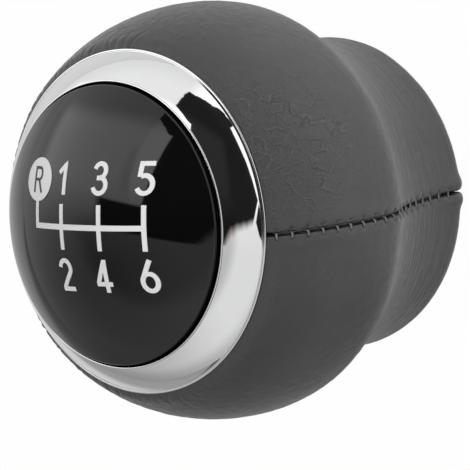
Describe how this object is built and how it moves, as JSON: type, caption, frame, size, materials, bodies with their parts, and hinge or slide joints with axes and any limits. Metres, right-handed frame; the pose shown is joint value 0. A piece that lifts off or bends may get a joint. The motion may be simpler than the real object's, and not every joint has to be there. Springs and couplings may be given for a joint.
{
  "type": "gear shift knob",
  "caption": "Leather-wrapped ball gear shift knob with a flared neck, stitched side seams, a chrome trim ring, and a domed gloss black cap printed with the shift pattern.",
  "frame": {"origin": "centre of the foot's face, on the lever's axis", "axes": "+Z along the lever's axis, out through the cap; +X along the bar of the shift pattern, from reverse towards fifth and sixth gear; +Y from the even gears to the odd gears"},
  "size_m": [0.05, 0.05, 0.0491],
  "materials": {
    "core_plastic": "moulded, plain",
    "insert_brass": "turned and knurled",
    "black_plastic": "fine spark-eroded",
    "leather": "smooth grain, semi-matt",
    "thread": "twisted polyester",
    "chrome": "bright chrome plating",
    "gloss_black": "high gloss",
    "pad_foam": "closed-cell foam with adhesive faces",
    "print": "pad-printed ink, satin"
  },
  "bodies": {
    "root": {"core": "core_plastic", "threaded_insert": "insert_brass", "bottom_collar": "black_plastic", "leather_front": "leather", "leather_rear": "leather", "seam_thread_right": "thread", "seam_thread_left": "thread", "cap_carrier": "black_plastic", "bezel_ring": "chrome", "cap": "gloss_black", "cap_pad": "pad_foam", "gate_pattern": "print"}
  },
  "joints": []
}
